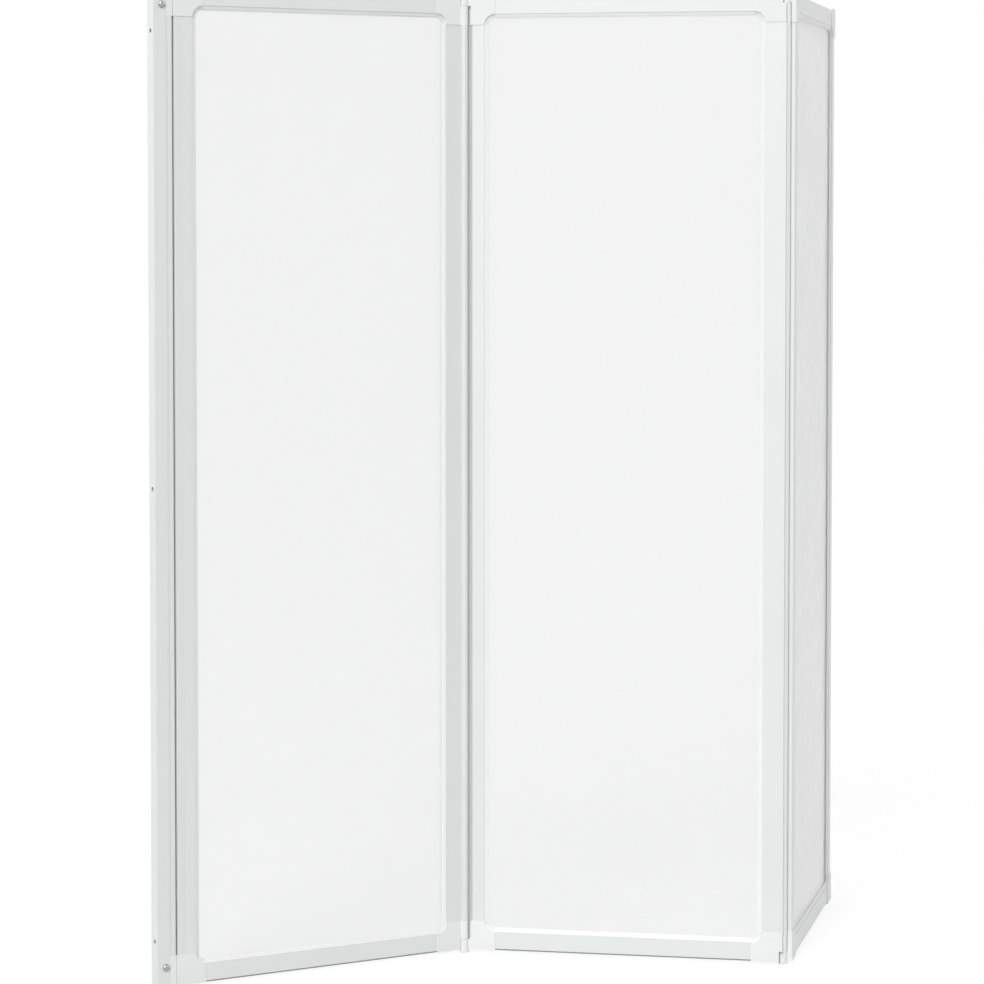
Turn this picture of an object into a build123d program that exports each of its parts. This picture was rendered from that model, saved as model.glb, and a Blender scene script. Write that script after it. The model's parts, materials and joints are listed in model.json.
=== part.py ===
from build123d import *
import math
import os

# Folding bath screen: three framed panels that fold like a Z and hang on a wall post.
# Frame: the wall face is x = 0, +X runs out from the wall along panel 1, +Z is up and -Y is the
# front. The origin is the middle wall screw hole, on the wall face at half height.

# Overall sizes in mm
FRAME_HEIGHT = 1210.0
PITCH = 405.5                # from hinge axis to hinge axis
WALL_TO_AXIS = 25.0          # wall face to the first hinge axis
FOLD_1 = -42.3               # turn of panel 2 against panel 1 as it stands
FOLD_2 = 88.6                # turn of panel 3 against panel 2 as it stands
HALF = FRAME_HEIGHT / 2
LAP = 1.0                    # cutters and joined blocks run this far past a face
NEAR = 0.1                   # an edge this close to a level lies on it

# Aluminium profiles
PROFILE_DEPTH = 9.0
WALL = 1.3
STILE_FACE = 25.9            # hinge axis to the inner edge of the flat stile face
RAIL_FACE = 21.5             # height of the flat rail face
RAIL_INSET = 2.0             # rails lie this far inside the ends of the corner pieces
BEVEL = 4.2                  # width of the slope from the face down to the sheet
FACE_STEP = 1.0              # the slope starts this far below the face
GLAZING_DEPTH = 7.5          # depth of the glazing groove
GLAZING_GAP = 4.6            # width of the glazing groove
RIB_PLACES = (7.3, 11.3)     # fine grooves down the face of the left stile
RIB_WIDTH = 0.8
RIB_DEPTH = 0.35
FREE_EDGE = 2.0              # outer edge of the last stile, counted from its axis
SMALL_R = 0.6
SHOULDER_R = 1.2
SOCKET_R = 3.0
FREE_R = 2.0
HALF_DEPTH = PROFILE_DEPTH / 2
SLOPE_LEVEL = HALF_DEPTH - FACE_STEP
BEVEL_FALL = SLOPE_LEVEL - GLAZING_GAP / 2
STILE_MOUTH = STILE_FACE + BEVEL
STILE_FLOOR = STILE_MOUTH - GLAZING_DEPTH
RAIL_MOUTH = RAIL_FACE + BEVEL
RAIL_FLOOR = RAIL_MOUTH - GLAZING_DEPTH
CHAMBER_DEPTH = PROFILE_DEPTH - 2 * WALL

# Hinges: the axis stands off the middle of the panel so that faces can meet
CORNER_DEPTH = 11.0
AXIS_OFFSET = 5.7
BEAD_R = 5.0
BEAD_BORE_R = 3.4
BEAD_PAST_AXIS = 0.5         # the bead stile's closed side ends this far past the axis
SOCKET_TIP = 2.0             # the socket stile's closed side starts here
SOCKET_SHOULDER = 9.5        # its open side starts here
SOCKET_FLOOR = -0.5
BEAD_CHAMBER = 6.2           # the bead stile's main chamber starts here
BEAD_SMALL_CHAMBER = 1.2     # and its small one here
PIN_R = 2.5
PIN_PLAY = 0.06
PIN_DEPTH = 18.0             # length of pin inside the inner knuckle
KNUCKLE_GAP = 0.3
OUTER_KNUCKLE = 13.3
GLIDE_R = 6.0
GLIDE_THICK = 3.0
PIN_CAP_R = 4.2
PIN_CAP_THICK = 1.2
HEAD_GAP = 0.2

# Corner pieces
CORNER_HEIGHT = 37.0
CORNER_REACH = 39.4
CORNER_ARC = 13.1            # inner corner of the raised L
BASE_CUT = 6.0               # inner corner of the sloped base, cut at 45 degrees
HALF_CORNER = CORNER_DEPTH / 2
SOCKET_CORNER_EDGE = 0.6
BEAD_CORNER_EDGE = -0.1
FREE_CORNER_EDGE = 0.5
CORNER_SHOULDER = 8.3
CORNER_RECESS_FLOOR = 0.1
KNUCKLE_CLEAR_R = 5.5
KNUCKLE_NOTCH = 4.2          # the right corners are cut back this far beside the outer knuckle
SPIGOT_LENGTH = 25.0
SPIGOT_PLAY = 0.2
SPIGOT_DEPTH = CHAMBER_DEPTH - SPIGOT_PLAY

# Sheet, gaskets and seals
SHEET_THICK = 3.0
SHEET_EDGE_GAP = 0.9
SHEET_POCKET = 3.2
GASKET_PLAY = 0.05
SEAL_SLOT_DEPTH = 4.7        # outer edge of the bottom rail to the floor above the seal slot
SEAL_SLOT_WIDTH = 5.0
SEAL_MOUTH = 3.0
SEAL_LIP_WIDTH = 7.2
SEAL_PLAY = 0.2
SEAL_LIP_SLOPE = 0.8
SEAL_NOTCH_WIDTH = 2.4
SEAL_NOTCH_RISE = 1.4
HINGE_SEAL_START = 2.6
HINGE_SEAL_END = 6.4
HINGE_SEAL_HEIGHT = 2.7
HINGE_SEAL_GAP = 0.4

# Wall post, centred on y = 0; the first panel stands a little to the front
CHANNEL_LENGTH_X = 16.5
CHANNEL_DEPTH = 17.2
CHANNEL_FRONT = -CHANNEL_DEPTH / 2
CHANNEL_BACK = CHANNEL_DEPTH / 2
CHANNEL_WALL = 1.5
PANEL_Y = -5.0
POST_TONGUE_X = 3.0
POST_PLAY = 0.1
POST_AXIS_Y = PANEL_Y + AXIS_OFFSET
POST_HEAD_BACK = POST_AXIS_Y + BEAD_R
POST_ROUND = 3.0
POST_RIB = 1.3
POST_PLUG_PLAY = 0.2
POST_TONGUE_FRONT = CHANNEL_FRONT + CHANNEL_WALL + POST_PLAY
POST_TONGUE_BACK = CHANNEL_BACK - CHANNEL_WALL - POST_PLAY
POST_HEAD_START = CHANNEL_LENGTH_X + POST_PLAY
WALL_HOLE_R = 2.75
WALL_HOLE_PITCH = 550.0
CLAMP_X = 11.4
CLAMP_END = 23.5             # clamp screws lie this far from the ends
CLAMP_HEAD_R = 4.6
CLAMP_HEAD_RISE = 1.8
CLAMP_HEAD_TOP_R = 2.6
CLAMP_SHANK_R = 2.0
CLAMP_PLAY = 0.2
CLAMP_SHANK_LENGTH = 10.0

# Derived levels and lengths; a panel is drawn from its middle, so its top end is at HALF
STILE_HALF = HALF - CORNER_HEIGHT
RAIL_OUTER = HALF - RAIL_INSET
RAIL_LENGTH = PITCH - 2 * CORNER_REACH
OPENING_TOP = RAIL_OUTER - RAIL_MOUTH
INNER_KNUCKLE_TOP = HALF - OUTER_KNUCKLE - KNUCKLE_GAP

os.makedirs("parts", exist_ok=True)


def save(part, name):
    part.label = name
    export_step(part, f"parts/{name}.step")


def turned(angle, along, across):
    """A point given along and across a panel that stands at an angle, as an XY vector."""
    turn = math.radians(angle)
    return Vector(
        along * math.cos(turn) - across * math.sin(turn),
        along * math.sin(turn) + across * math.cos(turn),
    )


def box_between(low, high, mode=Mode.ADD):
    """A box between two corners, in the active plane's own coordinates."""
    with Locations([((low[0] + high[0]) / 2, (low[1] + high[1]) / 2, (low[2] + high[2]) / 2)]):
        Box(high[0] - low[0], high[1] - low[1], high[2] - low[2], mode=mode)


def rectangle_between(low, high, mode=Mode.ADD):
    with Locations([((low[0] + high[0]) / 2, (low[1] + high[1]) / 2)]):
        Rectangle(high[0] - low[0], high[1] - low[1], mode=mode)


def vertex_near(sketch, x, y):
    return sketch.vertices().sort_by_distance((x, y, 0))[0]


class PanelFrame:
    """Where a panel stands: the foot of its left axis on its middle plane, and its angle.

    flip is 1 for a panel whose left hinge lies at the back and -1 for one turned over.
    """

    def __init__(self, name, foot, angle, flip):
        self.name = name
        self.flip = flip
        self.foot = foot
        self.along = turned(angle, 1, 0)
        self.back = turned(angle, 0, 1)
        self.far_foot = foot + self.along * PITCH

    def left(self):
        """x runs into the panel from its left axis, y to the side that the hinge folds to."""
        return Plane(origin=self.foot, x_dir=self.along, z_dir=(0, 0, self.flip))

    def right(self):
        """The same at the right axis: x runs into the panel, y to that hinge's folding side."""
        return Plane(origin=self.far_foot, x_dir=-self.along, z_dir=(0, 0, self.flip))

    def face(self):
        """Front view: x along the panel from its left axis, y up, z to the front."""
        return Plane(origin=self.foot, x_dir=self.along, z_dir=-self.back)

    def rail(self, along):
        """Cut across the rails: x to the back, y up, z along the panel."""
        return Plane(origin=self.foot + self.along * along, x_dir=self.back, z_dir=self.along)


foot_1 = Vector(WALL_TO_AXIS, PANEL_Y)
angle_2 = FOLD_1
angle_3 = FOLD_1 + FOLD_2
axis_0 = foot_1 + turned(0, 0, AXIS_OFFSET)
axis_1 = foot_1 + turned(0, PITCH, -AXIS_OFFSET)
foot_2 = axis_1 - turned(angle_2, 0, -AXIS_OFFSET)
axis_2 = foot_2 + turned(angle_2, PITCH, AXIS_OFFSET)
foot_3 = axis_2 - turned(angle_3, 0, AXIS_OFFSET)

panels = [
    PanelFrame("panel_1", foot_1, 0.0, 1),
    PanelFrame("panel_2", foot_2, angle_2, -1),
    PanelFrame("panel_3", foot_3, angle_3, 1),
]


def glazing_lips(start, mouth, floor, face):
    """Outline points of the glazing groove, from one face round the sheet to the other."""
    return [
        (face, start * HALF_DEPTH),
        (face, start * SLOPE_LEVEL),
        (mouth, start * GLAZING_GAP / 2),
        (floor, start * GLAZING_GAP / 2),
        (floor, -start * GLAZING_GAP / 2),
        (mouth, -start * GLAZING_GAP / 2),
        (face, -start * SLOPE_LEVEL),
        (face, -start * HALF_DEPTH),
    ]


def socket_stile(plane):
    """Left stile: an open socket for the neighbour's bead, a chamber and a glazing groove."""
    chamber_start = SOCKET_SHOULDER + WALL
    chamber_end = STILE_FLOOR - WALL
    lip_start = (SOCKET_TIP + WALL, -HALF_DEPTH + WALL)
    lip_end = (SOCKET_SHOULDER, SOCKET_FLOOR - WALL)
    with BuildPart() as stile:
        with BuildSketch(plane.offset(-STILE_HALF)) as section:
            with BuildLine():
                Polyline(
                    (SOCKET_TIP, -HALF_DEPTH),
                    *glazing_lips(-1, STILE_MOUTH, STILE_FLOOR, STILE_FACE),
                    (SOCKET_SHOULDER, HALF_DEPTH),
                    (SOCKET_SHOULDER, SOCKET_FLOOR),
                    (SOCKET_TIP, SOCKET_FLOOR),
                    close=True,
                )
            make_face()
            fillet(vertex_near(section, SOCKET_SHOULDER, SOCKET_FLOOR), SOCKET_R)
            fillet(vertex_near(section, SOCKET_SHOULDER, HALF_DEPTH), SHOULDER_R)
            fillet(vertex_near(section, SOCKET_TIP, -HALF_DEPTH), SMALL_R)
            rectangle_between(
                (chamber_start, -CHAMBER_DEPTH / 2), (chamber_end, CHAMBER_DEPTH / 2), mode=Mode.SUBTRACT
            )
            rectangle_between(lip_start, lip_end, mode=Mode.SUBTRACT)
            with Locations([(place, -HALF_DEPTH) for place in RIB_PLACES]):
                Rectangle(RIB_WIDTH, 2 * RIB_DEPTH, mode=Mode.SUBTRACT)
        extrude(amount=2 * STILE_HALF)
    return stile.part


def bead_stile(plane):
    """Right stile: a full length hinge bead, two chambers and a glazing groove."""
    small_start = (BEAD_SMALL_CHAMBER, -HALF_DEPTH + WALL)
    small_end = (BEAD_CHAMBER - WALL, AXIS_OFFSET - BEAD_R - WALL)
    with BuildPart() as stile:
        with BuildSketch(plane.offset(-STILE_HALF)):
            with BuildLine():
                Polyline(
                    (-BEAD_PAST_AXIS, -HALF_DEPTH),
                    *glazing_lips(-1, STILE_MOUTH, STILE_FLOOR, STILE_FACE),
                    (-BEAD_PAST_AXIS, HALF_DEPTH),
                    close=True,
                )
            make_face()
            with Locations([(0, AXIS_OFFSET)]):
                Circle(BEAD_R)
                Circle(BEAD_BORE_R, mode=Mode.SUBTRACT)
            rectangle_between(
                (BEAD_CHAMBER, -CHAMBER_DEPTH / 2),
                (STILE_FLOOR - WALL, CHAMBER_DEPTH / 2),
                mode=Mode.SUBTRACT,
            )
            rectangle_between(small_start, small_end, mode=Mode.SUBTRACT)
        extrude(amount=2 * STILE_HALF)
    return stile.part


def free_stile(plane):
    """Right stile of the outer panel: a plain rounded edge."""
    with BuildPart() as stile:
        with BuildSketch(plane.offset(-STILE_HALF)) as section:
            with BuildLine():
                Polyline(
                    (FREE_EDGE, -HALF_DEPTH),
                    *glazing_lips(-1, STILE_MOUTH, STILE_FLOOR, STILE_FACE),
                    (FREE_EDGE, HALF_DEPTH),
                    close=True,
                )
            make_face()
            for side in (-1, 1):
                fillet(vertex_near(section, FREE_EDGE, side * HALF_DEPTH), FREE_R)
            rectangle_between(
                (FREE_EDGE + WALL, -CHAMBER_DEPTH / 2),
                (STILE_FLOOR - WALL, CHAMBER_DEPTH / 2),
                mode=Mode.SUBTRACT,
            )
        extrude(amount=2 * STILE_HALF)
    return stile.part


def rail(panel, end):
    """Top rail (end 1) or bottom rail (end -1); the bottom one has the seal's T slot."""
    has_slot = end < 0
    chamber_outer = SEAL_SLOT_DEPTH if has_slot else WALL

    def level(depth):
        return end * (RAIL_OUTER - depth)

    with BuildPart() as bar:
        with BuildSketch(panel.rail(CORNER_REACH)):
            with BuildLine():
                Polyline(
                    (-HALF_DEPTH, level(0)),
                    (-HALF_DEPTH, level(RAIL_FACE)),
                    (-SLOPE_LEVEL, level(RAIL_FACE)),
                    (-GLAZING_GAP / 2, level(RAIL_MOUTH)),
                    (-GLAZING_GAP / 2, level(RAIL_FLOOR)),
                    (GLAZING_GAP / 2, level(RAIL_FLOOR)),
                    (GLAZING_GAP / 2, level(RAIL_MOUTH)),
                    (SLOPE_LEVEL, level(RAIL_FACE)),
                    (HALF_DEPTH, level(RAIL_FACE)),
                    (HALF_DEPTH, level(0)),
                    close=True,
                )
            make_face()
            chamber_low, chamber_high = sorted((level(chamber_outer), level(RAIL_FLOOR - WALL)))
            rectangle_between(
                (-CHAMBER_DEPTH / 2, chamber_low), (CHAMBER_DEPTH / 2, chamber_high), mode=Mode.SUBTRACT
            )
            if has_slot:
                rectangle_between(
                    (-SEAL_SLOT_WIDTH / 2, level(WALL)),
                    (SEAL_SLOT_WIDTH / 2, level(SEAL_SLOT_DEPTH - WALL)),
                    mode=Mode.SUBTRACT,
                )
                rectangle_between(
                    (-SEAL_MOUTH / 2, level(0)), (SEAL_MOUTH / 2, level(WALL)), mode=Mode.SUBTRACT
                )
        extrude(amount=RAIL_LENGTH)
    return bar.part


def front_of(plane):
    """The front view of a hinge-side plane: x stays, y is its axis direction."""
    return Plane(origin=plane.origin, x_dir=plane.x_dir, z_dir=-plane.y_dir)


def corner_outline(plane, edge, depth, widening):
    """The L of a corner piece, drawn on its rear face; the sloped base is wider than the pad."""
    stile_line = STILE_FACE + widening
    rail_line = RAIL_OUTER - RAIL_FACE - widening
    with BuildSketch(front_of(plane).offset(-depth / 2)) as outline:
        with BuildLine():
            Polyline(
                (edge, HALF),
                (CORNER_REACH, HALF),
                (CORNER_REACH, rail_line),
                (stile_line, rail_line),
                (stile_line, STILE_HALF),
                (edge, STILE_HALF),
                close=True,
            )
        make_face()
        inner_corner = vertex_near(outline, stile_line, rail_line)
        if widening:
            chamfer(inner_corner, BASE_CUT)
        else:
            fillet(inner_corner, CORNER_ARC)
    return outline.sketch


def slope_to_sheet(corner, plane):
    """Slopes both faces of the base down to the sheet, in line with the profiles."""

    def level_of(item):
        return plane.to_local_coords(item.center())

    for face_y in (-SLOPE_LEVEL, SLOPE_LEVEL):
        face = [item for item in corner.faces() if abs(level_of(item).Y - face_y) < NEAR][0]
        inner_edges = [
            item
            for item in face.edges()
            if level_of(item).X > STILE_MOUTH - NEAR
            and STILE_HALF + NEAR < level_of(item).Z < OPENING_TOP + NEAR
            and level_of(item).X < CORNER_REACH - NEAR
        ]
        chamfer(inner_edges, BEVEL, BEVEL_FALL, reference=face)


def corner_body(corner, plane, edge):
    """A sloped base in line with the profiles' slopes, and an L proud of it on both faces."""
    extrude(corner_outline(plane, edge, 2 * SLOPE_LEVEL, BEVEL), amount=2 * SLOPE_LEVEL)
    slope_to_sheet(corner, plane)
    extrude(corner_outline(plane, edge, CORNER_DEPTH, 0), amount=CORNER_DEPTH)


def sheet_pocket():
    box_between(
        (STILE_FLOOR, -SHEET_POCKET / 2, STILE_HALF - LAP),
        (CORNER_REACH + LAP, SHEET_POCKET / 2, RAIL_OUTER - RAIL_FLOOR),
        mode=Mode.SUBTRACT,
    )


def spigots(stile_start):
    """Tongues that plug into the chambers of the stile and the rail."""
    box_between(
        (stile_start + SPIGOT_PLAY, -SPIGOT_DEPTH / 2, STILE_HALF - SPIGOT_LENGTH),
        (STILE_FLOOR - WALL - SPIGOT_PLAY, SPIGOT_DEPTH / 2, STILE_HALF),
    )
    box_between(
        (CORNER_REACH, -SPIGOT_DEPTH / 2, RAIL_OUTER - RAIL_FLOOR + WALL + SPIGOT_PLAY),
        (CORNER_REACH + SPIGOT_LENGTH, SPIGOT_DEPTH / 2, RAIL_OUTER - SEAL_SLOT_DEPTH - SPIGOT_PLAY),
    )


def upright(radius, low, high, mode=Mode.ADD):
    """A cylinder round the hinge axis between two levels."""
    with Locations([(0, AXIS_OFFSET, (low + high) / 2)]):
        Cylinder(radius, high - low, mode=mode)


def socket_corner(plane):
    """Left corner: the outer knuckle at its end, a recess for the neighbour's inner knuckle."""
    knuckle_low = HALF - OUTER_KNUCKLE
    with BuildPart() as corner:
        corner_body(corner, plane, SOCKET_CORNER_EDGE)
        with Locations(plane):
            box_between(
                (SOCKET_CORNER_EDGE - LAP, CORNER_RECESS_FLOOR, STILE_HALF - LAP),
                (CORNER_SHOULDER, HALF_CORNER + LAP, knuckle_low),
                mode=Mode.SUBTRACT,
            )
            sheet_pocket()
            upright(BEAD_R, knuckle_low, HALF)
            upright(PIN_R + PIN_PLAY, knuckle_low - LAP, HALF + LAP, mode=Mode.SUBTRACT)
            spigots(SOCKET_SHOULDER + WALL)
    return corner.part


def bead_corner(plane):
    """Right corner: the inner knuckle, and a notch for the neighbour's outer knuckle."""
    with BuildPart() as corner:
        corner_body(corner, plane, BEAD_CORNER_EDGE)
        with Locations(plane):
            upright(KNUCKLE_CLEAR_R, INNER_KNUCKLE_TOP, HALF + LAP, mode=Mode.SUBTRACT)
            box_between(
                (BEAD_CORNER_EDGE - LAP, -HALF_CORNER - LAP, INNER_KNUCKLE_TOP),
                (KNUCKLE_NOTCH, AXIS_OFFSET, HALF + LAP),
                mode=Mode.SUBTRACT,
            )
            sheet_pocket()
            upright(BEAD_R, STILE_HALF, INNER_KNUCKLE_TOP)
            upright(PIN_R, INNER_KNUCKLE_TOP - PIN_DEPTH, INNER_KNUCKLE_TOP + LAP, mode=Mode.SUBTRACT)
            spigots(BEAD_CHAMBER)
    return corner.part


def free_corner(plane):
    """Right corner of the outer panel: it stands proud of the stile and has no knuckle."""
    with BuildPart() as corner:
        corner_body(corner, plane, FREE_CORNER_EDGE)
        with Locations(plane):
            sheet_pocket()
            spigots(FREE_EDGE + WALL)
    return corner.part


def twin(part):
    """The same piece for the other end of the panel."""
    with BuildPart() as other:
        mirror(part, about=Plane.XY)
    return other.part


def sheet(panel):
    width = PITCH - 2 * (STILE_FLOOR + SHEET_EDGE_GAP)
    height = 2 * (RAIL_OUTER - RAIL_FLOOR - SHEET_EDGE_GAP)
    with BuildPart() as pane:
        with BuildSketch(panel.face().offset(-SHEET_THICK / 2)):
            with Locations([(PITCH / 2, 0)]):
                Rectangle(width, height)
        extrude(amount=SHEET_THICK)
    return pane.part


def gasket_section(plane, floor, mouth):
    """The U of a glazing strip: x runs out of the groove, y across the sheet."""
    with BuildSketch(plane) as section:
        rectangle_between(
            (floor + GASKET_PLAY, -GLAZING_GAP / 2 + GASKET_PLAY), (mouth, GLAZING_GAP / 2 - GASKET_PLAY)
        )
        rectangle_between(
            (floor + SHEET_EDGE_GAP, -SHEET_THICK / 2), (mouth, SHEET_THICK / 2), mode=Mode.SUBTRACT
        )
    return section.sketch


def glazing_gasket(panel):
    rail_floor = RAIL_FLOOR - RAIL_OUTER
    rail_mouth = RAIL_MOUTH - RAIL_OUTER
    start = panel.foot + panel.along * CORNER_REACH
    up_from_sill = Plane(origin=start, x_dir=(0, 0, 1), z_dir=panel.along)
    down_from_head = Plane(origin=start, x_dir=(0, 0, -1), z_dir=panel.along)
    with BuildPart() as gasket:
        for side in (panel.left(), panel.right()):
            section = gasket_section(side.offset(-STILE_HALF), STILE_FLOOR, STILE_MOUTH)
            extrude(section, amount=2 * STILE_HALF)
        for side in (up_from_sill, down_from_head):
            extrude(gasket_section(side, rail_floor, rail_mouth), amount=RAIL_LENGTH)
    return gasket.part


def sill_seal(panel):
    """A T strip in the bottom rail's slot with a soft lip on the bath rim."""
    neck_half = SEAL_MOUTH / 2 - SEAL_PLAY
    head_half = SEAL_SLOT_WIDTH / 2 - SEAL_PLAY
    neck_top = -RAIL_OUTER + WALL + SEAL_PLAY
    head_top = -RAIL_OUTER + SEAL_SLOT_DEPTH - WALL - SEAL_PLAY
    with BuildPart() as strip:
        with BuildSketch(panel.rail(CORNER_REACH)):
            with BuildLine():
                Polyline(
                    (-SEAL_LIP_WIDTH / 2, -RAIL_OUTER),
                    (-SEAL_LIP_WIDTH / 2 + SEAL_LIP_SLOPE, -HALF),
                    (-SEAL_NOTCH_WIDTH / 2, -HALF),
                    (0, -HALF + SEAL_NOTCH_RISE),
                    (SEAL_NOTCH_WIDTH / 2, -HALF),
                    (SEAL_LIP_WIDTH / 2 - SEAL_LIP_SLOPE, -HALF),
                    (SEAL_LIP_WIDTH / 2, -RAIL_OUTER),
                    close=True,
                )
            make_face()
            rectangle_between((-neck_half, -RAIL_OUTER), (neck_half, neck_top))
            rectangle_between((-head_half, neck_top), (head_half, head_top))
        extrude(amount=RAIL_LENGTH)
    return strip.part


def hinge_seal(plane):
    """Soft strip on the socket's floor, with a hollow that follows the bead."""
    with BuildPart() as strip:
        with BuildSketch(plane.offset(-STILE_HALF)):
            rectangle_between(
                (HINGE_SEAL_START, SOCKET_FLOOR), (HINGE_SEAL_END, SOCKET_FLOOR + HINGE_SEAL_HEIGHT)
            )
            with Locations([(0, AXIS_OFFSET)]):
                Circle(BEAD_R + HINGE_SEAL_GAP, mode=Mode.SUBTRACT)
        extrude(amount=2 * STILE_HALF)
    return strip.part


def hinge_pins(axis):
    """Pins through both pairs of knuckles: a cap on the upper one, a glide disc on the lower."""
    with BuildPart() as pins:
        for end, head_r, head_thick in ((1, PIN_CAP_R, PIN_CAP_THICK), (-1, GLIDE_R, GLIDE_THICK)):
            tip = Plane(origin=(axis.X, axis.Y, end * (INNER_KNUCKLE_TOP - PIN_DEPTH)), z_dir=(0, 0, end))
            head_low = HALF + HEAD_GAP - (INNER_KNUCKLE_TOP - PIN_DEPTH)
            with BuildSketch(tip):
                Circle(PIN_R)
            extrude(amount=head_low)
            with BuildSketch(tip.offset(head_low)):
                Circle(head_r)
            extrude(amount=head_thick)
    return pins.part


def wall_channel():
    """U channel with three wall holes in its web and a clamp hole near each end of its front."""
    with BuildPart() as channel:
        with BuildSketch(Plane.XY.offset(-HALF)):
            rectangle_between((0, CHANNEL_FRONT), (CHANNEL_LENGTH_X, CHANNEL_BACK))
            rectangle_between(
                (CHANNEL_WALL, CHANNEL_FRONT + CHANNEL_WALL),
                (CHANNEL_LENGTH_X, CHANNEL_BACK - CHANNEL_WALL),
                mode=Mode.SUBTRACT,
            )
        extrude(amount=FRAME_HEIGHT)
        with Locations(Plane(origin=(0, 0, 0), x_dir=(0, 1, 0), z_dir=(1, 0, 0))):
            with GridLocations(1, WALL_HOLE_PITCH, 1, 3):
                Cylinder(WALL_HOLE_R, 4 * CHANNEL_WALL, mode=Mode.SUBTRACT)
        with Locations(Plane(origin=(CLAMP_X, CHANNEL_FRONT, 0), x_dir=(1, 0, 0), z_dir=(0, -1, 0))):
            with GridLocations(1, FRAME_HEIGHT - 2 * CLAMP_END, 1, 2):
                Cylinder(CLAMP_SHANK_R + CLAMP_PLAY, 4 * CHANNEL_WALL, mode=Mode.SUBTRACT)
    return channel.part


def hinge_post():
    """Extrusion that slides in the channel, with a rounded front and the first hinge bead."""
    head_end = WALL_TO_AXIS + BEAD_PAST_AXIS
    chamber_start = (POST_TONGUE_X + WALL, POST_TONGUE_FRONT + WALL)
    chamber_end = (POST_HEAD_START, POST_TONGUE_BACK - WALL)
    with BuildPart() as post:
        with BuildSketch(Plane.XY.offset(-STILE_HALF)) as section:
            rectangle_between(
                (POST_TONGUE_X, POST_TONGUE_FRONT), (POST_HEAD_START + LAP, POST_TONGUE_BACK)
            )
            rectangle_between((POST_HEAD_START, CHANNEL_FRONT), (head_end, POST_HEAD_BACK))
            fillet(vertex_near(section, head_end, CHANNEL_FRONT), POST_ROUND)
            with Locations([(WALL_TO_AXIS, POST_AXIS_Y)]):
                Circle(BEAD_R)
                Circle(BEAD_BORE_R, mode=Mode.SUBTRACT)
            rectangle_between(chamber_start, chamber_end, mode=Mode.SUBTRACT)
            with Locations([(POST_HEAD_START + POST_RIB, CHANNEL_FRONT)]):
                Rectangle(POST_RIB, POST_RIB, mode=Mode.SUBTRACT)
        extrude(amount=2 * STILE_HALF)
    return post.part


def post_block():
    """End block of the post: fills the channel's end and carries the inner knuckle."""
    head_end = WALL_TO_AXIS - BEAD_CORNER_EDGE
    plug_start = POST_TONGUE_X + WALL + POST_PLUG_PLAY
    plug_front = POST_TONGUE_FRONT + WALL + POST_PLUG_PLAY
    plug_back = POST_TONGUE_BACK - WALL - POST_PLUG_PLAY
    clamp = Plane(origin=(CLAMP_X, POST_TONGUE_FRONT, HALF - CLAMP_END), z_dir=(0, -1, 0))
    with BuildPart() as block:
        box_between(
            (CHANNEL_WALL + POST_PLAY, POST_TONGUE_FRONT, STILE_HALF),
            (POST_HEAD_START + LAP, POST_TONGUE_BACK, HALF),
        )
        box_between((POST_HEAD_START, CHANNEL_FRONT, STILE_HALF), (head_end, POST_HEAD_BACK, HALF))
        with Locations(Plane(origin=(WALL_TO_AXIS, PANEL_Y, 0))):
            upright(KNUCKLE_CLEAR_R, INNER_KNUCKLE_TOP, HALF + LAP, mode=Mode.SUBTRACT)
            upright(BEAD_R, STILE_HALF, INNER_KNUCKLE_TOP)
            upright(PIN_R, INNER_KNUCKLE_TOP - PIN_DEPTH, INNER_KNUCKLE_TOP + LAP, mode=Mode.SUBTRACT)
        box_between(
            (plug_start, plug_front, STILE_HALF - SPIGOT_LENGTH),
            (POST_HEAD_START - POST_PLUG_PLAY, plug_back, STILE_HALF),
        )
        with Locations(clamp):
            Cylinder(CLAMP_SHANK_R, 2 * CLAMP_SHANK_LENGTH, mode=Mode.SUBTRACT)
    return block.part


def clamp_screws():
    """Two screws with raised heads in the front of the channel, one near each end."""
    with BuildPart() as screws:
        for end in (-1, 1):
            middle = Vector(CLAMP_X, CHANNEL_FRONT, end * (HALF - CLAMP_END))
            with BuildSketch(Plane(origin=middle, x_dir=(1, 0, 0), z_dir=(0, 0, 1))):
                with BuildLine():
                    Polyline(
                        (0, -CLAMP_HEAD_RISE),
                        (CLAMP_HEAD_TOP_R, -CLAMP_HEAD_RISE),
                        (CLAMP_HEAD_R, 0),
                        (CLAMP_SHANK_R, 0),
                        (CLAMP_SHANK_R, CLAMP_SHANK_LENGTH),
                        (0, CLAMP_SHANK_LENGTH),
                        close=True,
                    )
                make_face()
            revolve(axis=Axis(middle, (0, 1, 0)))
    return screws.part


save(wall_channel(), "wall_channel")
save(hinge_post(), "hinge_post")
top_block = post_block()
save(top_block, "post_block_top")
save(twin(top_block), "post_block_bottom")
save(clamp_screws(), "clamp_screws")

for owner, axis in (("post", axis_0), ("panel_1", axis_1), ("panel_2", axis_2)):
    save(hinge_pins(axis), f"{owner}_pins")

for panel in panels:
    is_last = panel is panels[-1]
    built_end, other_end = ("top", "bottom") if panel.flip > 0 else ("bottom", "top")
    left_corner = socket_corner(panel.left())
    right_corner = free_corner(panel.right()) if is_last else bead_corner(panel.right())
    right_stile = free_stile(panel.right()) if is_last else bead_stile(panel.right())
    save(socket_stile(panel.left()), f"{panel.name}_left_stile")
    save(right_stile, f"{panel.name}_right_stile")
    save(rail(panel, 1), f"{panel.name}_top_rail")
    save(rail(panel, -1), f"{panel.name}_bottom_rail")
    for side, piece in (("left", left_corner), ("right", right_corner)):
        save(piece, f"{panel.name}_corner_{built_end}_{side}")
        save(twin(piece), f"{panel.name}_corner_{other_end}_{side}")
    save(sheet(panel), f"{panel.name}_glass")
    save(glazing_gasket(panel), f"{panel.name}_glazing_gasket")
    save(sill_seal(panel), f"{panel.name}_sill_seal")
    save(hinge_seal(panel.left()), f"{panel.name}_hinge_seal")

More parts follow.
